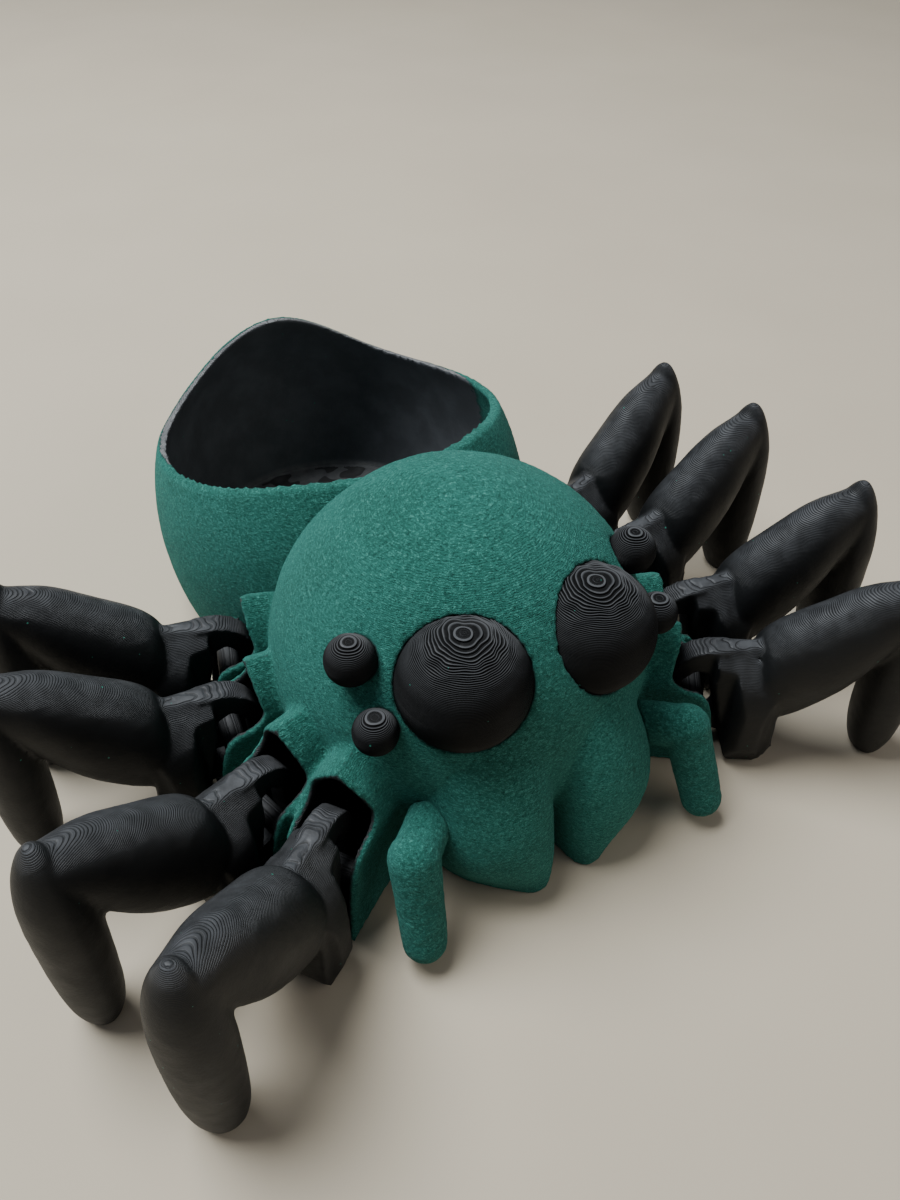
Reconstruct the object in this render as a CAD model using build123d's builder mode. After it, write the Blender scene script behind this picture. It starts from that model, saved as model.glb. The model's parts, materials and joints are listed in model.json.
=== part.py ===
from build123d import *
import math
import os

# An articulated jumping spider whose abdomen is an open bowl, printed flat on its underside.
# Millimetres. +Z is up and the object stands on Z = 0. The face looks along -Y, so the
# spider's own right side is at -X. The origin is on the floor under the middle of the head.

# ---- head ----
head_radius = 31.9
head_centre_height = 22.25

# ---- muzzle lobes: height, then x and how far behind the head's front each point lies: ----
# ---- the inner, tip, front, outer and two back points on the left side                 ----
lobe_sections = [
    (0.0, [(1.4, 1.9), (5.4, -5.5), (11.8, -0.9), (16.8, 5.3), (14.0, 17.9), (3.0, 17.9)]),
    (6.0, [(1.0, 1.4), (5.8, -6.0), (13.4, -2.9), (18.4, 3.5), (15.0, 17.9), (3.0, 17.9)]),
    (12.0, [(0.9, 0.9), (6.2, -5.9), (14.6, -3.9), (19.5, 2.3), (16.0, 17.9), (3.0, 17.9)]),
    (19.0, [(0.8, 1.4), (6.6, -4.1), (14.4, -2.1), (19.0, 4.3), (16.0, 17.9), (3.0, 17.9)]),
    (26.0, [(0.8, 2.9), (6.6, -0.7), (13.0, 1.1), (17.0, 6.5), (14.0, 17.9), (3.0, 17.9)]),
    (33.0, [(1.6, 5.9), (6.4, 3.7), (10.8, 5.1), (13.4, 8.9), (12.0, 17.9), (3.0, 17.9)]),
]

# ---- eyes: the main pair's balls, their gap, and how deep their centres lie in the head ----
main_eye_radius = 10.0
main_eye_gap = 1.8
main_eye_elevation = 34.19
main_eye_depth = 3.51

# ---- side eyes: angle out from the main eye's edge, elevation, height off the head, radius ----
upper_side_eye = (14.77, 35.40, 1.68, 3.8)
lower_side_eye = (2.32, 20.89, 2.17, 3.4)

# ---- bowl ----
bowl_seat_depth = 24.5
bowl_middle_height = 17.9
bowl_half_width = 36.4
bowl_half_length = 41.4
bowl_half_height = 43.6
bowl_wall = 1.8
bowl_floor = 2.0
rim_front_height = 46.6
rim_side_height = 45.0
rim_back_height = 43.6
rim_dip_height = 27.0

# ---- sockets, front to back: the pivot's angle forward of +X, its distance off the head's ----
# ---- side, and how far forward the socket faces                                          ----
sockets = [(33.12, 9.65, 35.0), (13.90, 9.31, 16.7), (-10.19, 8.23, -6.1), (-31.80, 9.28, -14.5)]
pivot_height = 12.0
socket_half_width = 5.0
hood_wall = 1.3
hood_spring_height = 19.5
hood_apex_height = 27.3
socket_floor = 1.2
socket_depth = 11.0
hood_root = 23.0
hood_flare = 0.6
hood_top_edge = [(-4.6, 31.6), (-4.2, 27.6), (-5.2, 21.5)]
hood_lip = [(-5.2, 21.5), (-2.6, 18.8), (0.7, 17.4), (2.2, 15.0), (3.6, 9.0), (4.9, 0)]

# ---- link bars and the rings that go round them ----
bar_radius = 1.9
ring_gap = 0.7
ring_half_thickness = 2.1
ring_arm = 2.6
ring_top_height = 24.2
ring_foot_height = 4.2
ring_foot_radius = 3.0
ring_crown_radius = 7.0
hole_chamfer = 0.8
hole_fillet = 0.7

# ---- legs: how far forward each one points at rest, front to back ----
right_leg_angles = [38.6, 20.4, -5.5, -12.1]
left_leg_angles = [31.4, 13.0, -6.7, -16.9]
coxa_half_width = 7.6
coxa_ridge_half_width = 1.5
coxa_ridge_height = 25.0
coxa_neck_half_width = 4.2
coxa_start = 4.2
coxa_end = 12.6

# ---- upper leg: distance out, middle height, half width, half height of each section ----
femur_sections = [
    (9.3, 17.0, 3.4, 6.0),
    (10.0, 17.4, 5.4, 8.8),
    (12.0, 18.2, 6.3, 10.6),
    (16.0, 20.4, 6.6, 11.6),
    (21.0, 24.2, 6.4, 11.4),
    (26.0, 28.8, 5.6, 9.6),
    (30.5, 33.4, 4.3, 6.2),
    (33.4, 36.0, 2.2, 3.0),
]

# ---- shin: height, middle distance out, half depth, half width of each section ----
shin_sections = [
    (-1.6, 33.9, 1.7, 2.0),
    (0.0, 33.8, 2.5, 3.1),
    (3.0, 33.6, 3.5, 4.4),
    (9.0, 33.3, 4.3, 5.4),
    (17.0, 32.9, 4.6, 5.7),
    (25.0, 32.5, 4.7, 5.6),
    (32.0, 32.2, 4.2, 4.9),
    (37.0, 32.0, 3.0, 3.5),
    (40.2, 31.8, 1.6, 1.9),
    (41.4, 31.7, 0.7, 0.8),
]

# ---- palps: the root, the shoulder and the tip of the hanging part, on the left side, ----
# ---- as x, distance behind the head's front, and height                               ----
palp_root = (16.5, 8.4, 16.5)
palp_shoulder = (24.9, 0.1, 18.2)
palp_tip = (26.4, -5.7, 4.8)
palp_arm_radius = 3.6
palp_shoulder_radius = 3.9
palp_tip_radius = 3.4

sides = (("left", 1), ("right", -1))
spare = 4

bowl_middle_y = head_radius - bowl_seat_depth + bowl_half_length
cut_depth = 50
cut_width = 2 * (bowl_middle_y + bowl_half_length)

os.makedirs("parts", exist_ok=True)


def ellipsoid(radii, centre):
    """A closed ellipsoid with the given half axes."""
    with BuildPart() as ball:
        Sphere(1)
        scale(by=radii)
    return Pos(*centre) * ball.part


def on_the_head(azimuth, elevation, stand_off):
    """A point at an angle from the face's middle, and at a distance off the head's surface."""
    reach = head_radius + stand_off
    level = reach * math.cos(math.radians(elevation))
    x = level * math.sin(math.radians(azimuth))
    y = -level * math.cos(math.radians(azimuth))
    return (x, y, head_centre_height + reach * math.sin(math.radians(elevation)))


def from_the_front(point):
    """A point whose y was measured from the head's front, in the model's own frame."""
    return (point[0], point[1] - head_radius, *point[2:])


def mirrored_point(point, side):
    """The point as given on the left side, or mirrored on to the right side."""
    return (point[0] * side, point[1], point[2])


def facing(side, forward_angle):
    """The turn about Z that points a leg's own X axis outwards."""
    return -forward_angle if side > 0 else 180 + forward_angle


def pivot_place(side, number):
    """The point on the floor under one socket's pivot."""
    angle, stand_off, _ = sockets[number]
    reach = head_radius + stand_off
    across = side * reach * math.cos(math.radians(angle))
    return Pos(across, -reach * math.sin(math.radians(angle)), 0)


def socket_places(side):
    """Where each socket's frame sits on one side, front to back."""
    turns = [Rot(0, 0, facing(side, forward)) for _, _, forward in sockets]
    return [pivot_place(side, number) * turn for number, turn in enumerate(turns)]


def arch_section(x, half_width, spring, apex, base):
    """The pointed arch of a hood or of its hollow, in a plane across the leg."""
    shoulder = (0.64 * half_width, 0.4 * spring + 0.6 * apex)
    with BuildSketch(Plane.YZ.offset(x)) as arch:
        with BuildLine():
            Polyline((0, base), (half_width, base), (half_width, spring))
            ThreePointArc((half_width, spring), shoulder, (0, apex))
            mirror(about=Plane.YZ)
        make_face()
    return arch.sketch


def rim_profile(y, heights):
    """The region above the rim in a plane across the bowl, its lower edge through the heights."""
    half_width = bowl_half_width + spare
    top = bowl_middle_height + bowl_half_height + spare
    steps = [half_width * i / (len(heights) - 1) for i in range(len(heights))]
    left = list(zip(steps, heights))
    right = [(-x, z) for x, z in reversed(left[1:])]
    with BuildSketch(Plane.XZ.offset(-y)) as face:
        with BuildLine():
            Spline(*right, *left)
            Polyline(left[-1], (half_width, top), (-half_width, top), right[0])
        make_face()
    return face.sketch


def capsule(start, end, start_radius, end_radius):
    """A round-ended tapering bar between two points."""
    along = Vector(*end) - Vector(*start)
    with BuildPart() as bar:
        with BuildSketch(Plane(origin=start, z_dir=along)):
            Circle(start_radius)
        with BuildSketch(Plane(origin=end, z_dir=along)):
            Circle(end_radius)
        loft()
        with Locations(start):
            Sphere(start_radius)
        with Locations(end):
            Sphere(end_radius)
    return bar.part


def write(piece, name):
    """Labels a finished piece and writes it to its own file."""
    piece.part.label = name
    export_step(piece.part, f"parts/{name}.step")


# ---- the hood block and its hollow, in the socket's own frame: X outwards, pivot at X = 0 ----
hood_half_width = socket_half_width + hood_wall
hood_apex = hood_apex_height + hood_wall
with BuildPart() as hood_block:
    add(arch_section(-hood_root, hood_half_width, hood_spring_height + hood_flare, hood_apex, 0))
    extrude(amount=hood_root + hood_lip[-1][0] + spare, dir=(1, 0, 0))
    with BuildSketch(Plane.XZ):
        with BuildLine():
            root_line = ((-hood_root, 0), (-hood_root, hood_top_edge[0][1]))
            Polyline(hood_lip[-1], *root_line, *hood_top_edge)
            Spline(*hood_lip)
        make_face()
    extrude(amount=hood_half_width + spare, both=True, mode=Mode.INTERSECT)

with BuildPart() as hood_hollow:
    add(
        arch_section(
            -socket_depth, socket_half_width, hood_spring_height, hood_apex_height, socket_floor
        )
    )
    extrude(amount=socket_depth + hood_lip[-1][0] + spare, dir=(1, 0, 0))

# ---- bowl, with its saddle-shaped rim ----
bowl_middle = (0, bowl_middle_y, bowl_middle_height)
bowl_envelope = ellipsoid((bowl_half_width, bowl_half_length, bowl_half_height), bowl_middle)
bowl_hollow = ellipsoid(
    (bowl_half_width - bowl_wall, bowl_half_length - bowl_wall, bowl_half_height - bowl_wall),
    bowl_middle,
)
front_rim_heights = [
    rim_front_height,
    rim_front_height + 1,
    rim_side_height + 2.6,
    rim_side_height,
]
back_rim_heights = [
    rim_back_height,
    rim_back_height - 6.5,
    rim_dip_height + 1,
    rim_dip_height,
]
with BuildPart() as above_rim:
    add(rim_profile(bowl_middle_y - bowl_half_length - spare, front_rim_heights))
    add(rim_profile(bowl_middle_y + bowl_half_length + spare, back_rim_heights))
    loft(ruled=True)

with BuildPart() as hollow_above_floor:
    add(bowl_hollow)
    with Locations((0, bowl_middle_y, bowl_floor - cut_depth)):
        Box(cut_width, cut_width, 2 * cut_depth, mode=Mode.SUBTRACT)

with BuildPart() as abdomen_bowl:
    add(bowl_envelope)
    with Locations((0, bowl_middle_y, -cut_depth)):
        Box(cut_width, cut_width, 2 * cut_depth, mode=Mode.SUBTRACT)
    add(hollow_above_floor.part, mode=Mode.SUBTRACT)
    add(above_rim.part, mode=Mode.SUBTRACT)
write(abdomen_bowl, "abdomen_bowl")

# ---- head: dome, muzzle lobes and socket hoods in one, with seats for the eyes ----
with BuildPart() as muzzle_lobe:
    for height, points in lobe_sections:
        with BuildSketch(Plane.XY.offset(height)):
            with BuildLine():
                Spline(*[from_the_front(point) for point in points], periodic=True)
            make_face()
    loft()

main_eye_reach = head_radius - main_eye_depth
main_eye_across = main_eye_radius + main_eye_gap / 2
main_eye_level = main_eye_reach * math.cos(math.radians(main_eye_elevation))
main_eye_azimuth = math.degrees(math.asin(main_eye_across / main_eye_level))
main_eye_edge = main_eye_azimuth + math.degrees(math.asin(main_eye_radius / main_eye_reach))
main_eye_centre = on_the_head(main_eye_azimuth, main_eye_elevation, -main_eye_depth)
eyes = [("main_eye", main_eye_centre, main_eye_radius)]
for eye_name, side_eye in (("upper_side_eye", upper_side_eye), ("lower_side_eye", lower_side_eye)):
    outwards, elevation, stand_off, radius = side_eye
    eyes.append((eye_name, on_the_head(main_eye_edge + outwards, elevation, stand_off), radius))
eye_seam_turn = (0, 0, 90)

with BuildPart() as head_shell:
    with Locations((0, 0, head_centre_height)):
        Sphere(head_radius)
    for _, side in sides:
        add(muzzle_lobe.part if side > 0 else mirror(muzzle_lobe.part, about=Plane.YZ))
        for place in socket_places(side):
            add(place * hood_block.part)
    with Locations((0, 0, -cut_depth)):
        Box(cut_width, cut_width, 2 * cut_depth, mode=Mode.SUBTRACT)
    for _, side in sides:
        for place in socket_places(side):
            add(place * hood_hollow.part, mode=Mode.SUBTRACT)
    add(bowl_envelope, mode=Mode.SUBTRACT)
    for _, eye, radius in eyes:
        with Locations(mirrored_point(eye, 1), mirrored_point(eye, -1)):
            Sphere(radius, rotation=eye_seam_turn, mode=Mode.SUBTRACT)
write(head_shell, "head_shell")

# ---- eyes, whole balls set in their seats ----
for side_name, side in sides:
    for eye_name, eye, radius in eyes:
        with BuildPart() as eye_ball:
            with Locations(mirrored_point(eye, side)):
                Sphere(radius, rotation=eye_seam_turn)
        write(eye_ball, f"{eye_name}_{side_name}")

# ---- palps, each a short arm with a part that hangs from its shoulder ----
for side_name, side in sides:
    points = (from_the_front(point) for point in (palp_root, palp_shoulder, palp_tip))
    root, shoulder, tip = (mirrored_point(point, side) for point in points)
    with BuildPart() as palp:
        add(capsule(root, shoulder, palp_arm_radius, palp_arm_radius))
        add(capsule(shoulder, tip, palp_shoulder_radius, palp_tip_radius))
        add(head_shell.part, mode=Mode.SUBTRACT)
    write(palp, f"palp_{side_name}")

# ---- link bars, each across its socket from wall to wall ----
with BuildPart() as bar_shape:
    with Locations((0, 0, pivot_height)):
        Cylinder(bar_radius, 2 * socket_half_width, rotation=(90, 0, 0))

for side_name, side in sides:
    for number, place in enumerate(socket_places(side), 1):
        with BuildPart() as link_bar:
            add(place * bar_shape.part)
        write(link_bar, f"link_bar_{side_name}_{number}")

# ---- the leg's inner lobe and ring, in the socket's own frame ----
hole_reach = bar_radius + ring_gap
ring_inner_end = -hole_reach - ring_arm
ring_crown_height = ring_top_height - ring_crown_radius
ring_join = coxa_start + 2
arc_share = 1 - math.sqrt(0.5)
with BuildPart() as coxa:
    with BuildSketch(Plane.XZ):
        with BuildLine():
            Polyline(
                (coxa_start + 3.2, 0),
                (coxa_end, 0),
                (coxa_end + 2, 5),
                (coxa_end, coxa_ridge_height - 1),
                (coxa_end - 2, coxa_ridge_height),
                (2, coxa_ridge_height - 0.6),
                (2.4, 17),
                (coxa_start, 10.5),
                (coxa_start + 0.9, 7),
                (coxa_start + 2.0, 3),
                close=True,
            )
        make_face()
    extrude(amount=coxa_half_width + spare, both=True)
    with BuildSketch(Plane.YZ):
        with BuildLine():
            Polyline((0, -1), (0.7 * coxa_half_width, -1), (coxa_half_width, 5), (coxa_half_width, 11))
            Spline(
                (coxa_half_width, 11),
                (0.93 * coxa_half_width, 16.0),
                (0.64 * coxa_half_width, 20.4),
                (coxa_ridge_half_width, coxa_ridge_height - 0.7),
                (0, coxa_ridge_height),
                tangents=[(0, 1), (-1, 0)],
            )
            mirror(about=Plane.YZ)
        make_face()
    extrude(amount=coxa_end + spare, dir=(1, 0, 0), mode=Mode.INTERSECT)
    with BuildSketch():
        with BuildLine():
            Polyline((2, 0), (2, coxa_neck_half_width - 0.4), (coxa_start + 1.4, coxa_neck_half_width))
            Spline(
                (coxa_start + 1.4, coxa_neck_half_width),
                (coxa_start + 2.2, 0.8 * coxa_half_width),
                (coxa_start + 3.8, coxa_half_width),
                (coxa_end, 0.84 * coxa_half_width),
            )
            Polyline(
                (coxa_end, 0.84 * coxa_half_width),
                (coxa_end + spare, 0.84 * coxa_half_width),
                (coxa_end + spare, 0),
            )
            mirror(about=Plane.XZ)
        make_face()
    extrude(amount=coxa_ridge_height + spare, mode=Mode.INTERSECT)
    with BuildSketch(Plane.XZ):
        with BuildLine():
            Line((ring_join, ring_foot_height), (ring_inner_end + ring_foot_radius, ring_foot_height))
            ThreePointArc(
                (ring_inner_end + ring_foot_radius, ring_foot_height),
                (
                    ring_inner_end + arc_share * ring_foot_radius,
                    ring_foot_height + arc_share * ring_foot_radius,
                ),
                (ring_inner_end, ring_foot_height + ring_foot_radius),
            )
            Line(
                (ring_inner_end, ring_foot_height + ring_foot_radius),
                (ring_inner_end, ring_crown_height),
            )
            ThreePointArc(
                (ring_inner_end, ring_crown_height),
                (
                    ring_inner_end + arc_share * ring_crown_radius,
                    ring_top_height - arc_share * ring_crown_radius,
                ),
                (ring_inner_end + ring_crown_radius, ring_top_height),
            )
            Polyline(
                (ring_inner_end + ring_crown_radius, ring_top_height),
                (4, coxa_ridge_height - 0.6),
                (ring_join, 20),
                (ring_join, ring_foot_height),
            )
        make_face()
    extrude(amount=ring_half_thickness, both=True)
    with BuildSketch(Plane.XZ):
        with BuildLine():
            Polyline(
                (-hole_reach, pivot_height - 3.8),
                (-hole_reach, pivot_height + 5),
                (-0.6, pivot_height + 7.4),
                (1.6, pivot_height + 6.6),
                (coxa_start, pivot_height - 3),
                (coxa_start - hole_chamfer, pivot_height - 4.4),
                (-hole_reach + hole_chamfer, pivot_height - 4.4),
                close=True,
            )
        ring_hole = make_face()
        fillet(ring_hole.vertices(), radius=hole_fillet)
    extrude(amount=coxa_half_width + spare, both=True, mode=Mode.SUBTRACT)

# ---- upper leg and shin, two smooth bodies that meet at the knee ----
with BuildPart() as femur:
    for distance, middle, half_width, half_height in femur_sections:
        with BuildSketch(Plane.YZ.offset(distance)):
            with Locations((0, middle)):
                Ellipse(half_width, half_height)
    loft()

with BuildPart() as shin:
    for height, middle, half_depth, half_width in shin_sections:
        with BuildSketch(Plane.XY.offset(height)):
            with Locations((middle, 0)):
                Ellipse(half_depth, half_width)
    loft()
    with Locations((0, 0, -cut_depth)):
        Box(cut_width, cut_width, 2 * cut_depth, mode=Mode.SUBTRACT)

# ---- legs ----
for (side_name, side), leg_angles in zip(sides, (left_leg_angles, right_leg_angles)):
    for number, leg_angle in enumerate(leg_angles, 1):
        place = pivot_place(side, number - 1) * Rot(0, 0, facing(side, leg_angle))
        with BuildPart() as leg:
            for segment in (coxa, femur, shin):
                add(place * segment.part)
        write(leg, f"leg_{side_name}_{number}")
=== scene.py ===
import json
import math

import bmesh
import bpy
from mathutils import Matrix, Vector, noise


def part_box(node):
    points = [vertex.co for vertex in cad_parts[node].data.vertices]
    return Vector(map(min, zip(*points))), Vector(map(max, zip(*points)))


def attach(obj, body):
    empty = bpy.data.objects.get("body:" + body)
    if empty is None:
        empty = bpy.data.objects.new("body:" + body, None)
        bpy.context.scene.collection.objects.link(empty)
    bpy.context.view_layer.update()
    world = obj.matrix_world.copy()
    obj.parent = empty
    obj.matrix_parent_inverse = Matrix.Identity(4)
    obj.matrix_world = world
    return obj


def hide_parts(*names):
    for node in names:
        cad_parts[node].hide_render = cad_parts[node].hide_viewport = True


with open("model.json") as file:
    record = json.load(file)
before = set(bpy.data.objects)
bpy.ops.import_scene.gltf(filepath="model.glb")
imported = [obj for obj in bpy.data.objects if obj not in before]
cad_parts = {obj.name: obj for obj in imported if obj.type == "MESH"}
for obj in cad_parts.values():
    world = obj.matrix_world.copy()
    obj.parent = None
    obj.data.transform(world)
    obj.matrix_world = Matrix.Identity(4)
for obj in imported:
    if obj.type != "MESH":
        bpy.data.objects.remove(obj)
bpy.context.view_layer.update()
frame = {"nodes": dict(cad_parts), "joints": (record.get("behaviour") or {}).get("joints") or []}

# An articulated jumping spider with an open bowl for an abdomen, printed in black plastic
# and flocked green outside. Metres; +Z is up and the face looks along -Y.

MM = 0.001
LAYER = 0.2 * MM
LINE_WIDTH = 0.42 * MM

# ---- sizes that the frame's boxes don't give ----
bowl_middle_height = 17.9 * MM
bowl_half_height = 43.6 * MM
bowl_wall = 1.8 * MM
bowl_floor = 2.0 * MM
lining_share = 0.8
seat_edge = 0.25 * MM
socket_half_width = 5.0 * MM
socket_depth = 11.0 * MM
socket_reach = 12 * MM
socket_floor = 1.2 * MM
hood_wall = 1.3 * MM
hood_spring = 19.5 * MM
hood_apex = 27.3 * MM
arch_share_limit = 1.3

# ---- how finely the printed skins are remeshed and rounded ----
head_voxel = 0.5 * MM
bowl_voxel = 0.55 * MM
leg_voxel = 0.4 * MM
palp_voxel = 0.3 * MM
merge_distance = 0.001 * MM
smooth_factor = 0.5

# ---- the ragged edge where the flock ends ----
edge_wander = 0.25 * MM
edge_wander_size = 0.9 * MM
edge_blend = 0.8 * MM
bare_face_share = 0.75

# ---- the lumps of the flock: broad ones beside the small ones ----
broad_lump_size = 6
broad_lump_depth = 1.2
broad_lump_shift = Vector((5, 5, 5))

# ---- the rings of the layered eyes ----
ring_groove = 0.06 * MM
ring_shoulders = (0.3, 0.75, 0.97)
foot_height = 0.02
foot_undercut = 0.45
foot_cut = 1.5
inner_limit = 0.3
last_line = 0.4
crown_power = 6
crown_wander = 0.3
crown_wander_size = 2.2 * MM
crown_stretch = 2
fewest_steps = 32
steps_per_metre = 9600
ball_merge_distance = 0.0005 * MM
sharp_angle = math.radians(35)
line_gain, line_offset = 2, 0.7

# ---- colours ----
flock_sheen = (0.25, 0.80, 0.72, 1)
flock_low = (0.016, 0.108, 0.082, 1)
flock_high = (0.021, 0.135, 0.106, 1)
# Painted highlight on the flock's fibre tips.
flock_tip_highlight = (0.085, 0.33, 0.27, 1)
# Painted shade in the gaps between the flock's fibres.
flock_gap_shade = (0.003, 0.026, 0.020, 1)
# Painted shade in the layer grooves on the flock's level parts.
flock_groove_shade = (0.008, 0.062, 0.044, 1)
flock_worn = (0.020, 0.032, 0.030, 1)
flock_speck = (0.03, 0.19, 0.14, 1)
# Painted shade in the layer grooves of the legs and socket linings.
groove_shade_black = (0.0018, 0.0018, 0.0018, 1)
leg_deep = (0.0040, 0.0045, 0.0050, 1)
# Painted sheen on the legs' upward-facing tops.
leg_top_sheen = (0.056, 0.059, 0.064, 1)
eye_deep = (0.0028, 0.0029, 0.0030, 1)
# Painted sheen on the eyes' upward-facing parts.
eye_top_sheen = (0.0042, 0.0044, 0.0048, 1)
# Painted highlight on the crests of the eye's layers.
eye_crest_highlight = (0.072, 0.075, 0.079, 1)
lining_deep = (0.011, 0.012, 0.013, 1)
# Painted sheen on the upward-facing parts inside the sockets.
lining_top_sheen = (0.050, 0.051, 0.053, 1)
# The bowl lining's base is lifted far above the plastic's own black, as painted light inside the
# bowl.
bowl_painted_light_base = (0.060, 0.064, 0.071, 1)
# Painted sheen on the upward-facing parts inside the bowl.
bowl_top_sheen = (0.16, 0.163, 0.165, 1)
# Painted shade in the layer grooves inside the bowl.
bowl_groove_shade = (0.04, 0.04, 0.04, 1)
floor_dark = (0.48, 0.415, 0.315, 1)
floor_pale = (0.54, 0.47, 0.36, 1)
room_colour = (0.74, 0.78, 0.86, 1)
window_colour = (0.93, 0.97, 1.0)
lamp_colour = (1.0, 0.93, 0.84)

# ---- camera and lights ----
camera_place = (-55.02 * MM, -95.62 * MM, 139.09 * MM)
camera_yaw = math.radians(29.22)
camera_pitch = math.radians(-44.31)
camera_roll = math.radians(0.43)
camera_sensor = 36
camera_lens = 28.05
camera_clip = 0.01
light_target = Vector((0, 0.02, 0.02))
window_place = (-0.24, 0.30, 0.82)
lamp_place = (0.5, -0.5, 0.5)
light_width = 0.6
window_power = 14.5
lamp_power = 1.2
room_strength = 0.22
floor_size = 3
floor_drop = 0.05 * MM


# =====================================================================================
# Nodes
# =====================================================================================
def join(tree, target, value):
    """Wires an output to a socket, or sets the socket's own value."""
    if isinstance(value, bpy.types.NodeSocket):
        tree.links.new(value, target)
    elif value is not None:
        target.default_value = value


def calc(tree, operation, a, b=None, c=None):
    """One Math node."""
    node = tree.nodes.new("ShaderNodeMath")
    node.operation = operation
    for target, value in zip(node.inputs, (a, b, c)):
        join(tree, target, value)
    return node.outputs[0]


def rescale(tree, value, low, high, new_low=0.0, new_high=1.0):
    """One Map Range node, smooth and clamped at both ends."""
    node = tree.nodes.new("ShaderNodeMapRange")
    node.interpolation_type = "SMOOTHSTEP"
    for target, number in zip(node.inputs, (value, low, high, new_low, new_high)):
        join(tree, target, number)
    return node.outputs[0]


def blend_colour(tree, share, first, second, mode="MIX"):
    """One colour Mix node."""
    node = tree.nodes.new("ShaderNodeMix")
    node.data_type = "RGBA"
    node.blend_type = mode
    join(tree, node.inputs[0], share)
    join(tree, node.inputs[6], first)
    join(tree, node.inputs[7], second)
    return node.outputs[2]


def grain(tree, place, size, detail=2.0, roughness=0.5, distortion=0.0):
    """Noise whose lumps are about the given size across; its value is about 0.5."""
    node = tree.nodes.new("ShaderNodeTexNoise")
    join(tree, node.inputs["Vector"], place)
    if isinstance(size, bpy.types.NodeSocket):
        join(tree, node.inputs["Scale"], calc(tree, "DIVIDE", 1.0, size))
    else:
        node.inputs["Scale"].default_value = 1 / size
    node.inputs["Detail"].default_value = detail
    node.inputs["Roughness"].default_value = roughness
    node.inputs["Distortion"].default_value = distortion
    return node.outputs[0]


def stretched(tree, place, factors):
    """The place with each axis multiplied, so that a pattern on it is squeezed along that axis."""
    node = tree.nodes.new("ShaderNodeMapping")
    join(tree, node.inputs["Vector"], place)
    node.inputs["Scale"].default_value = factors
    return node.outputs[0]


def height_of(tree, place):
    """The Z of a place."""
    node = tree.nodes.new("ShaderNodeSeparateXYZ")
    join(tree, node.inputs[0], place)
    return node.outputs[2]


def effect(name, inputs, outputs):
    """An empty node group: its tree, its inputs and its outputs, both found by name."""
    tree = bpy.data.node_groups.new(name, "ShaderNodeTree")
    for label, kind, default in inputs:
        item = tree.interface.new_socket(label, in_out="INPUT", socket_type=kind)
        if default is not None:
            item.default_value = default
    for label, kind in outputs:
        tree.interface.new_socket(label, in_out="OUTPUT", socket_type=kind)
    entry = tree.nodes.new("NodeGroupInput")
    return tree, entry.outputs, tree.nodes.new("NodeGroupOutput").inputs


def layer_effect():
    """Print layers: terraces where the surface is nearly level, and faint beads on its walls."""
    rise_end, fall_start = 0.30, 0.70
    level_start, level_end = 0.35, 0.85
    groove_start, groove_end = 0.82, 0.97
    bead_height = 0.12
    tree, given, made = effect(
        "print_layers",
        [
            ("Place", "NodeSocketVector", None),
            ("Facing", "NodeSocketVector", None),
            ("Pitch", "NodeSocketFloat", LAYER),
            ("Waviness", "NodeSocketFloat", 0.1 * MM),
            ("Wave size", "NodeSocketFloat", 3 * MM),
        ],
        [
            ("Height", "NodeSocketFloat"),
            ("Groove", "NodeSocketFloat"),
            ("Level", "NodeSocketFloat"),
        ],
    )
    wave = calc(tree, "SUBTRACT", grain(tree, given["Place"], given["Wave size"], detail=1.0), 0.5)
    lifted = calc(tree, "MULTIPLY_ADD", wave, given["Waviness"], height_of(tree, given["Place"]))
    share = calc(tree, "FRACT", calc(tree, "DIVIDE", lifted, given["Pitch"]))
    rise = rescale(tree, share, 0.0, rise_end)
    fall = rescale(tree, share, fall_start, 1.0, 1.0, 0.0)
    terrace = calc(tree, "MULTIPLY", rise, fall)
    # Level marks the upward-facing parts: the terraces, and where the black materials paint their
    # sheen and groove lines.
    level = rescale(tree, height_of(tree, given["Facing"]), level_start, level_end)
    bead = calc(tree, "MULTIPLY", calc(tree, "PINGPONG", share, 0.5), bead_height)
    steep = calc(tree, "SUBTRACT", 1.0, level)
    on_level = calc(tree, "MULTIPLY", terrace, level)
    shape = calc(tree, "ADD", on_level, calc(tree, "MULTIPLY", bead, steep))
    join(tree, made["Height"], calc(tree, "MULTIPLY", shape, given["Pitch"]))
    # The groove mask lies at the top of each layer on level parts; most materials paint shade
    # there, and the eyes paint a crest highlight.
    groove = rescale(tree, share, groove_start, groove_end)
    join(tree, made["Groove"], calc(tree, "MULTIPLY", groove, level))
    join(tree, made["Level"], level)
    return tree


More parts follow.
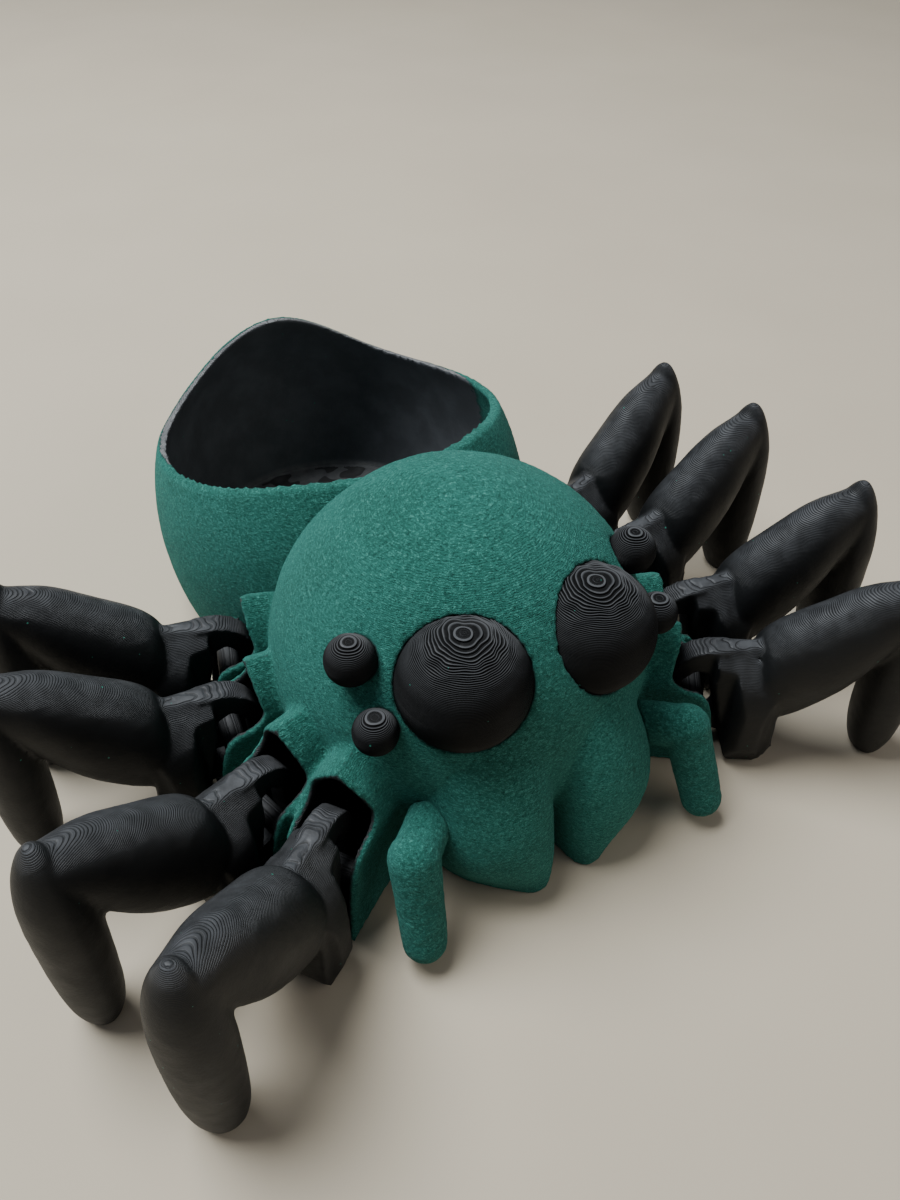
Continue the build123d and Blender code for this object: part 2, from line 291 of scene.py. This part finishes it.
def fibre_effect():
    """A flock coat: short fibres lying in small clumps, with masks for the painted highlights on
    their tips and the painted shade in the gaps between.
    """
    lie = (0.8, 0.8, 1.5)
    fine_size, nap_size = 0.45, 0.2
    broad_weight, fine_weight, nap_weight = 0.40, 0.42, 0.18
    tip_start, tip_end = 0.50, 0.64
    gap_start, gap_end = 0.48, 0.36
    tree, given, made = effect(
        "flock_fibres",
        [("Place", "NodeSocketVector", None), ("Clump", "NodeSocketFloat", 0.7 * MM)],
        [("Height", "NodeSocketFloat"), ("Tip highlight", "NodeSocketFloat"), ("Gap shade", "NodeSocketFloat")],
    )
    clump = given["Clump"]
    lying = stretched(tree, given["Place"], lie)
    broad = grain(tree, lying, clump, detail=2.0, distortion=0.8)
    fine = grain(tree, lying, calc(tree, "MULTIPLY", clump, fine_size), detail=2.0, distortion=1.6)
    nap = grain(tree, given["Place"], calc(tree, "MULTIPLY", clump, nap_size), detail=1.0)
    weighed = calc(tree, "MULTIPLY", fine, fine_weight)
    mixed = calc(tree, "MULTIPLY_ADD", broad, broad_weight, weighed)
    height = calc(tree, "MULTIPLY_ADD", nap, nap_weight, mixed)
    join(tree, made["Height"], height)
    join(tree, made["Tip highlight"], rescale(tree, height, tip_start, tip_end))
    join(tree, made["Gap shade"], rescale(tree, height, gap_start, gap_end))
    return tree


def dust_effect():
    """Loose specks: a few small grains and short fibres scattered over a surface."""
    smallest, spread = 0.03, 0.09
    tree, given, made = effect(
        "loose_specks",
        [
            ("Place", "NodeSocketVector", None),
            ("Spacing", "NodeSocketFloat", 1.4 * MM),
            ("Share", "NodeSocketFloat", 0.3),
        ],
        [("Speck", "NodeSocketFloat")],
    )
    cells = tree.nodes.new("ShaderNodeTexVoronoi")
    join(tree, cells.inputs["Vector"], given["Place"])
    join(tree, cells.inputs["Scale"], calc(tree, "DIVIDE", 1.0, given["Spacing"]))
    pick = tree.nodes.new("ShaderNodeSeparateColor")
    join(tree, pick.inputs[0], cells.outputs["Color"])
    chosen = calc(tree, "LESS_THAN", pick.outputs[0], given["Share"])
    size = calc(tree, "MULTIPLY_ADD", pick.outputs[1], spread, smallest)
    spot = calc(tree, "LESS_THAN", cells.outputs["Distance"], size)
    join(tree, made["Speck"], calc(tree, "MULTIPLY", chosen, spot))
    return tree


def use(tree, group, **values):
    """Places a node group with its own values, named with _ for a space, and gives its outputs."""
    node = tree.nodes.new("ShaderNodeGroup")
    node.node_tree = group
    for label, value in values.items():
        join(tree, node.inputs[label.replace("_", " ")], value)
    return node.outputs


def surface(name, **constants):
    """A new material: its tree, its Principled shader, and its place and facing outputs."""
    material = bpy.data.materials.new(name)
    material.use_nodes = True
    tree = material.node_tree
    shader = tree.nodes["Principled BSDF"]
    for label, value in constants.items():
        shader.inputs[label.replace("_", " ")].default_value = value
    source = tree.nodes.new("ShaderNodeTexCoord")
    return material, tree, shader, source.outputs["Object"], source.outputs["Normal"]


def emboss(tree, shader, height):
    """Turns a height in metres into the shader's normal."""
    node = tree.nodes.new("ShaderNodeBump")
    node.inputs["Distance"].default_value = 1.0
    node.inputs["Strength"].default_value = 1.0
    join(tree, node.inputs["Height"], height)
    join(tree, shader.inputs["Normal"], node.outputs[0])


print_layers = layer_effect()
flock_fibres = fibre_effect()
loose_specks = dust_effect()


# =====================================================================================
# Materials
# =====================================================================================
def flock_material(name, layer_share, tone):
    """Green flock over the print: painted teal highlights on the fibre tips, painted dark green
    shade in the gaps between them and in the layer grooves on level parts.
    """
    coat_depth, layer_depth = 0.6 * MM, 0.45
    tip_strength, gap_strength = 0.85, 0.9
    fray, fray_middle = 0.9, -0.45
    material, tree, shader, place, facing = surface(
        name, Roughness=0.92, Sheen_Weight=0.22, Sheen_Roughness=0.5, Sheen_Tint=flock_sheen
    )
    shader.inputs["Specular IOR Level"].default_value = 0.12
    fibres = use(tree, flock_fibres, Place=place, Clump=0.48 * MM)
    layers = use(
        tree, print_layers, Place=place, Facing=facing, Waviness=0.35 * MM, Wave_size=1.8 * MM
    )
    patch = grain(tree, place, 14 * MM, detail=3.0)
    ground = blend_colour(tree, rescale(tree, patch, 0.35, 0.65), flock_low, flock_high)
    # Painted highlight on the fibre tips.
    tip = calc(tree, "MULTIPLY", fibres["Tip highlight"], tip_strength)
    tipped = blend_colour(tree, tip, ground, flock_tip_highlight)
    # Painted shade in the gaps between the fibres.
    gap = calc(tree, "MULTIPLY", fibres["Gap shade"], gap_strength)
    gapped = blend_colour(tree, gap, tipped, flock_gap_shade)
    # Painted shade in the layer grooves.
    groove = calc(tree, "MULTIPLY", layers["Groove"], layer_share)
    lined = blend_colour(tree, groove, gapped, flock_groove_shade)
    toned = blend_colour(tree, 1.0, lined, (tone, tone, tone, 1), "MULTIPLY")
    bare = tree.nodes.new("ShaderNodeAttribute")
    bare.attribute_name = "bare"
    frayed = calc(tree, "MULTIPLY_ADD", fibres["Height"], fray, fray_middle)
    worn = calc(tree, "ADD", bare.outputs["Fac"], frayed)
    colour = blend_colour(tree, rescale(tree, worn, 0.3, 0.75), toned, flock_worn)
    join(tree, shader.inputs["Base Color"], colour)
    coat = calc(tree, "MULTIPLY", fibres["Height"], coat_depth)
    relief = calc(tree, "MULTIPLY_ADD", layers["Height"], layer_depth * layer_share, coat)
    emboss(tree, shader, relief)
    return material


def black_material(
    name, roughness, gloss, waviness, wave_size, terrace, deep, top, line, crowned=False
):
    """Bare black print: its own colour, a painted sheen on the level tops, and lines between its
    layers, painted as shade in the grooves when the line colour is dark and as highlights on the
    crests when it is pale.
    """
    cloud_lift = 1.4
    cloud_roughness, scuff_roughness, scuff_depth = 0.10, 0.06, 0.03 * MM
    material, tree, shader, place, facing = surface(name)
    shader.inputs["Specular IOR Level"].default_value = gloss
    layers = use(
        tree, print_layers, Place=place, Facing=facing, Waviness=waviness, Wave_size=wave_size
    )
    cloud = grain(tree, place, 7 * MM, detail=4.0, roughness=0.6)
    scuff = grain(tree, place, 0.5 * MM, detail=2.0)
    # Soft patches in the painted sheen on the level tops.
    sheen_patchiness = rescale(tree, grain(tree, place, 2.5 * MM, detail=3.0), 0.3, 0.7, 0.45, 1.0)
    lifted = [cloud_lift * part for part in deep[:3]] + [1]
    base = blend_colour(tree, rescale(tree, cloud, 0.35, 0.7), deep, lifted)
    # Painted sheen on the level tops, in soft patches.
    topped = blend_colour(tree, calc(tree, "MULTIPLY", layers["Level"], sheen_patchiness), base, top)
    line_share = 0.9
    # On the eyes, the crown attribute sets how strongly the crest highlight is painted.
    if crowned:
        crown = tree.nodes.new("ShaderNodeAttribute")
        crown.attribute_name = "crown"
        line_share = crown.outputs["Fac"]
    # The line colour is painted shade in the grooves on legs, linings and bowl, and a painted
    # highlight on the crests of the eyes.
    lined = blend_colour(tree, calc(tree, "MULTIPLY", layers["Groove"], line_share), topped, line)
    specks = use(tree, loose_specks, Place=place, Share=0.10)
    colour = blend_colour(tree, specks["Speck"], lined, flock_speck)
    join(tree, shader.inputs["Base Color"], colour)
    clouded = rescale(tree, cloud, 0.3, 0.7)
    rough = calc(tree, "MULTIPLY_ADD", clouded, cloud_roughness, roughness)
    rougher = calc(tree, "MULTIPLY_ADD", scuff, scuff_roughness, rough)
    join(tree, shader.inputs["Roughness"], rougher)
    skin_height = calc(tree, "MULTIPLY", scuff, scuff_depth)
    emboss(tree, shader, calc(tree, "MULTIPLY_ADD", layers["Height"], terrace, skin_height))
    return material


green_flock = flock_material("green_flock", layer_share=0.75, tone=1.0)
palp_flock = flock_material("palp_flock", layer_share=0.2, tone=0.9)
black_leg = black_material(
    "black_leg", roughness=0.46, gloss=0.28, waviness=0.8 * MM, wave_size=4.0 * MM, terrace=0.8,
    deep=leg_deep, top=leg_top_sheen, line=groove_shade_black,
)
black_eye = black_material(
    "black_eye", roughness=0.42, gloss=0.12, waviness=0.0, wave_size=3 * MM, terrace=0.0,
    deep=eye_deep, top=eye_top_sheen, line=eye_crest_highlight, crowned=True,
)
black_lining = black_material(
    "black_lining", roughness=0.5, gloss=0.3, waviness=0.15 * MM, wave_size=5 * MM, terrace=0.5,
    deep=lining_deep, top=lining_top_sheen, line=groove_shade_black,
)
bowl_lining = black_material(
    "bowl_lining", roughness=0.5, gloss=0.3, waviness=0.1 * MM, wave_size=6 * MM, terrace=0.4,
    deep=bowl_painted_light_base, top=bowl_top_sheen, line=bowl_groove_shade,
)


# =====================================================================================
# Shapes
# =====================================================================================
def new_piece(name, mesh):
    """A new object in the scene."""
    piece = bpy.data.objects.new(name, mesh)
    bpy.context.scene.collection.objects.link(piece)
    return piece


def settle(piece):
    """Replaces a piece's mesh by what its modifiers make of it."""
    shaped_piece = piece.evaluated_get(bpy.context.evaluated_depsgraph_get())
    shaped = bpy.data.meshes.new_from_object(shaped_piece)
    piece.modifiers.clear()
    piece.data = shaped


def skin(name, node, voxel, rounding):
    """A merged copy of a CAD node's mesh, remeshed finely with its sharp edges rounded."""
    mesh = bpy.data.meshes.new(name)
    shape = bmesh.new()
    shape.from_mesh(frame["nodes"][node].data)
    bmesh.ops.remove_doubles(shape, verts=shape.verts, dist=merge_distance)
    shape.to_mesh(mesh)
    shape.free()
    piece = new_piece(name, mesh)
    remesh = piece.modifiers.new("voxels", "REMESH")
    remesh.mode = "VOXEL"
    remesh.voxel_size = voxel
    smooth = piece.modifiers.new("rounding", "SMOOTH")
    smooth.factor = smooth_factor
    smooth.iterations = rounding
    settle(piece)
    piece.data.polygons.foreach_set("use_smooth", [True] * len(piece.data.polygons))
    return piece


def sockets():
    """Each socket's frame, turned to the world: X outwards and its middle on the joint's axis."""
    places = []
    for joint in frame["joints"]:
        axis = Vector(joint["axis"])
        outward = Vector((-axis.y, axis.x, 0))
        middle = Vector((joint["pos_m"][0], joint["pos_m"][1], 0))
        turn = Matrix((outward, Vector((-outward.y, outward.x, 0)), Vector((0, 0, 1)))).transposed()
        places.append(Matrix.Translation(middle) @ turn.to_4x4())
    return places


socket_frames = [place.inverted() for place in sockets()]
bowl_low, bowl_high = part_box("abdomen_bowl")
bowl_middle = Vector((0, bowl_high.y - (bowl_high.x - bowl_low.x) / 2, bowl_middle_height))

eye_balls = []
for node in frame["nodes"]:
    if "_eye_" in node:
        low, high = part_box(node)
        eye_balls.append(((low + high) / 2, (high.x - low.x) / 2))


def arch_half_width(height):
    """Half the width of a socket's hollow at a height."""
    if height <= hood_spring:
        return socket_half_width
    share = min((height - hood_spring) / (hood_apex - hood_spring), arch_share_limit)
    return socket_half_width * (1 - share * share)


def in_a_socket(point):
    """How far inside a socket's hollow a point is, from its wall's middle; negative outside."""
    deepest = -1.0
    for place in socket_frames:
        local = place @ point
        along = -socket_depth - hood_wall < local.x < socket_reach
        if along and local.z > socket_floor - hood_wall / 2:
            side = arch_half_width(local.z - hood_wall / 2) + hood_wall / 2 - abs(local.y)
            deepest = max(deepest, min(side, local.x + socket_depth + hood_wall / 2))
    return deepest


def in_the_bowl(point):
    """How far inside the middle of the bowl's wall a point is; negative outside."""
    half_width = (bowl_high.x - bowl_low.x) / 2 - lining_share * bowl_wall
    half_height = bowl_half_height - lining_share * bowl_wall
    off = point - bowl_middle
    across = (off.x / half_width) ** 2 + (off.y / half_width) ** 2
    reach = math.sqrt(across + (off.z / half_height) ** 2)
    return min((1 - reach) * half_width, point.z - bowl_floor / 2)


def in_a_seat(point):
    """How far inside the bare edge round an eye a point is; negative outside."""
    return max(radius + seat_edge - (point - middle).length for middle, radius in eye_balls)


def mark_bare(piece, depth_inside):
    """Marks where the print has no flock, and gives those faces the second material."""
    mesh = piece.data
    bare = []
    for vertex in mesh.vertices:
        jitter = edge_wander * noise.noise(vertex.co / edge_wander_size)
        inside = depth_inside(vertex.co) + jitter
        bare.append(min(max(0.5 + inside / edge_blend, 0.0), 1.0))
    mesh.attributes.new("bare", "FLOAT", "POINT").data.foreach_set("value", bare)
    for face in mesh.polygons:
        if sum(bare[i] for i in face.vertices) > bare_face_share * len(face.vertices):
            face.material_index = 1
    return bare


def raise_flock(piece, bare, lump_depth, lump_size):
    """Lifts and sinks the flocked part of a surface in small lumps."""
    mesh = piece.data
    normals = [vertex.normal.copy() for vertex in mesh.vertices]
    for vertex, normal, share in zip(mesh.vertices, normals, bare):
        small = noise.noise(vertex.co / lump_size)
        broad = noise.noise(vertex.co / (broad_lump_size * lump_size) + broad_lump_shift)
        vertex.co += normal * lump_depth * (1 - share) * (small + broad_lump_depth * broad)


def roughen(piece, depth, size):
    """Sinks a surface unevenly, as flat dabs with soft ridges between them."""
    mesh = piece.data
    normals = [vertex.normal.copy() for vertex in mesh.vertices]
    for vertex, normal in zip(mesh.vertices, normals):
        near, second = noise.voronoi(vertex.co / size)[0][:2]
        dab = min(second - near, 0.5)
        vertex.co -= normal * depth * (0.5 + 0.5 * noise.noise(vertex.co / size) + dab)


def head():
    """The flocked head, bare inside its sockets and round its eyes."""
    piece = skin("flocked_head", "head_shell", head_voxel, rounding=6)
    piece.data.materials.append(green_flock)
    piece.data.materials.append(black_lining)
    bare = mark_bare(piece, lambda point: max(in_a_socket(point), in_a_seat(point)))
    raise_flock(piece, bare, 0.08 * MM, 0.8 * MM)
    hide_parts("head_shell")
    return piece


def bowl():
    """The flocked bowl with its bare lining."""
    piece = skin("flocked_bowl", "abdomen_bowl", bowl_voxel, rounding=4)
    piece.data.materials.append(green_flock)
    piece.data.materials.append(bowl_lining)
    raise_flock(piece, mark_bare(piece, in_the_bowl), 0.06 * MM, 0.9 * MM)
    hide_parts("abdomen_bowl")
    return piece


def palp(side):
    """One short feeler under the face, flocked all over."""
    piece = skin(f"flocked_palp_{side}", f"palp_{side}", palp_voxel, rounding=8)
    piece.data.materials.append(palp_flock)
    flocked = [0.0] * len(piece.data.vertices)
    piece.data.attributes.new("bare", "FLOAT", "POINT").data.foreach_set("value", flocked)
    raise_flock(piece, flocked, 0.08 * MM, 0.9 * MM)
    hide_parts(f"palp_{side}")
    return piece


def layered_ball(name, node):
    """A ball printed in level layers: a stack of bulging rings, stepped towards its top."""
    low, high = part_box(node)
    middle = (low + high) / 2
    radius = (high.z - low.z) / 2
    belly, shoulder, rim = ring_shoulders
    shape = bmesh.new()
    outline = [shape.verts.new(middle - Vector((0, 0, radius)))]
    first, last = math.ceil(low.z / LAYER), math.floor(high.z / LAYER)
    for number in range(first, last):
        bottom = number * LAYER - middle.z
        reach = math.sqrt(max(radius**2 - (bottom + LAYER / 2) ** 2, 0))
        foot = foot_height - foot_undercut * max(bottom / radius, 0)
        bulge = (
            (foot, reach - foot_cut * ring_groove),
            (belly, reach),
            (shoulder, reach),
            (rim, reach - ring_groove),
        )
        for share, x in bulge:
            point = Vector((max(x, inner_limit * reach), 0, bottom + share * LAYER))
            outline.append(shape.verts.new(middle + point))
    top = last * LAYER - middle.z
    line = reach - LINE_WIDTH
    while line > last_line * LINE_WIDTH:
        for x, sink in ((line + ring_groove, 0), (line, ring_groove), (line - ring_groove, 0)):
            outline.append(shape.verts.new(middle + Vector((x, 0, top - sink))))
        line -= LINE_WIDTH
    outline.append(shape.verts.new(middle + Vector((0, 0, top))))
    edges = [shape.edges.new(pair) for pair in zip(outline, outline[1:])]
    steps = max(fewest_steps, round(steps_per_metre * radius))
    bmesh.ops.spin(
        shape, geom=outline + edges, cent=middle, axis=(0, 0, 1), dvec=(0, 0, 0),
        angle=2 * math.pi, steps=steps, use_merge=True, use_duplicate=False,
    )
    bmesh.ops.remove_doubles(shape, verts=shape.verts, dist=ball_merge_distance)
    bmesh.ops.recalc_face_normals(shape, faces=shape.faces)
    for vertex in shape.verts:
        off = vertex.co - middle
        level = Vector((off.x, off.y, 0))
        wander = noise.noise(Vector((off.x, off.y, off.z * crown_stretch)) / crown_wander_size)
        crown = max(off.z / radius, 0) ** crown_power
        vertex.co += level * crown * crown_wander * wander
    mesh = bpy.data.meshes.new(name)
    shape.to_mesh(mesh)
    shape.free()
    mesh.polygons.foreach_set("use_smooth", [True] * len(mesh.polygons))
    mesh.set_sharp_from_angle(angle=sharp_angle)
    # The crown attribute grows towards the top of the ball, where the eye material paints its crest
    # highlights.
    rises = [(vertex.co.z - middle.z) / radius for vertex in mesh.vertices]
    crowns = [min(max(rise * line_gain - line_offset, 0), 1) for rise in rises]
    mesh.attributes.new("crown", "FLOAT", "POINT").data.foreach_set("value", crowns)
    piece = new_piece(name, mesh)
    piece.data.materials.append(black_eye)
    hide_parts(node)
    return piece


def leg(side, number):
    """One bare leg."""
    piece = skin(f"printed_leg_{side}_{number}", f"leg_{side}_{number}", leg_voxel, rounding=5)
    piece.data.materials.append(black_leg)
    roughen(piece, 0.08 * MM, 4.5 * MM)
    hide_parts(f"leg_{side}_{number}")
    return piece


# =====================================================================================
# Stage
# =====================================================================================
def add_camera():
    """The camera: above the face's right side, looking down at it."""
    data = bpy.data.cameras.new("camera")
    data.sensor_width = camera_sensor
    data.lens = camera_lens
    data.clip_start = camera_clip
    camera = bpy.data.objects.new("camera", data)
    turn = (
        Matrix.Rotation(-camera_yaw, 4, "Z")
        @ Matrix.Rotation(math.pi / 2 + camera_pitch, 4, "X")
        @ Matrix.Rotation(camera_roll, 4, "Z")
    )
    camera.matrix_world = Matrix.Translation(camera_place) @ turn
    bpy.context.scene.collection.objects.link(camera)
    bpy.context.scene.camera = camera


def add_light(name, place, power, colour):
    """A round light at a place, facing the object."""
    data = bpy.data.lights.new(name, "AREA")
    data.shape = "DISK"
    data.size = light_width
    data.energy = power
    data.color = colour
    light = bpy.data.objects.new(name, data)
    light.location = place
    light.rotation_euler = (light_target - Vector(place)).to_track_quat("-Z", "Y").to_euler()
    bpy.context.scene.collection.objects.link(light)


def add_stage():
    """The floor, the dim room and its lights."""
    shape = bmesh.new()
    bmesh.ops.create_grid(shape, x_segments=2, y_segments=2, size=floor_size)
    mesh = bpy.data.meshes.new("floor")
    shape.to_mesh(mesh)
    shape.free()
    floor = new_piece("floor", mesh)
    material, tree, shader, place, _ = surface("pale_floor", Roughness=0.8)
    tint = blend_colour(tree, grain(tree, place, 60 * MM, 3.0), floor_dark, floor_pale)
    join(tree, shader.inputs["Base Color"], tint)
    floor.data.materials.append(material)
    floor.location.z = -floor_drop
    world = bpy.data.worlds.new("studio")
    bpy.context.scene.world = world
    world.use_nodes = True
    backdrop = world.node_tree.nodes["Background"]
    backdrop.inputs["Color"].default_value = room_colour
    backdrop.inputs["Strength"].default_value = room_strength
    add_light("window", window_place, window_power, window_colour)
    add_light("room", lamp_place, lamp_power, lamp_colour)


add_camera()
add_stage()

for piece in (head(), bowl()):
    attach(piece, "body")
for side in ("left", "right"):
    piece = palp(side)
    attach(piece, "body")
    for eye in ("main_eye", "upper_side_eye", "lower_side_eye"):
        piece = layered_ball(f"layered_{eye}_{side}", f"{eye}_{side}")
        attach(piece, "body")
    for number in range(1, 5):
        piece = leg(side, number)
        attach(piece, f"leg_{side}_{number}")
        bar = frame["nodes"][f"link_bar_{side}_{number}"]
        bar.data.materials.clear()
        bar.data.materials.append(black_lining)
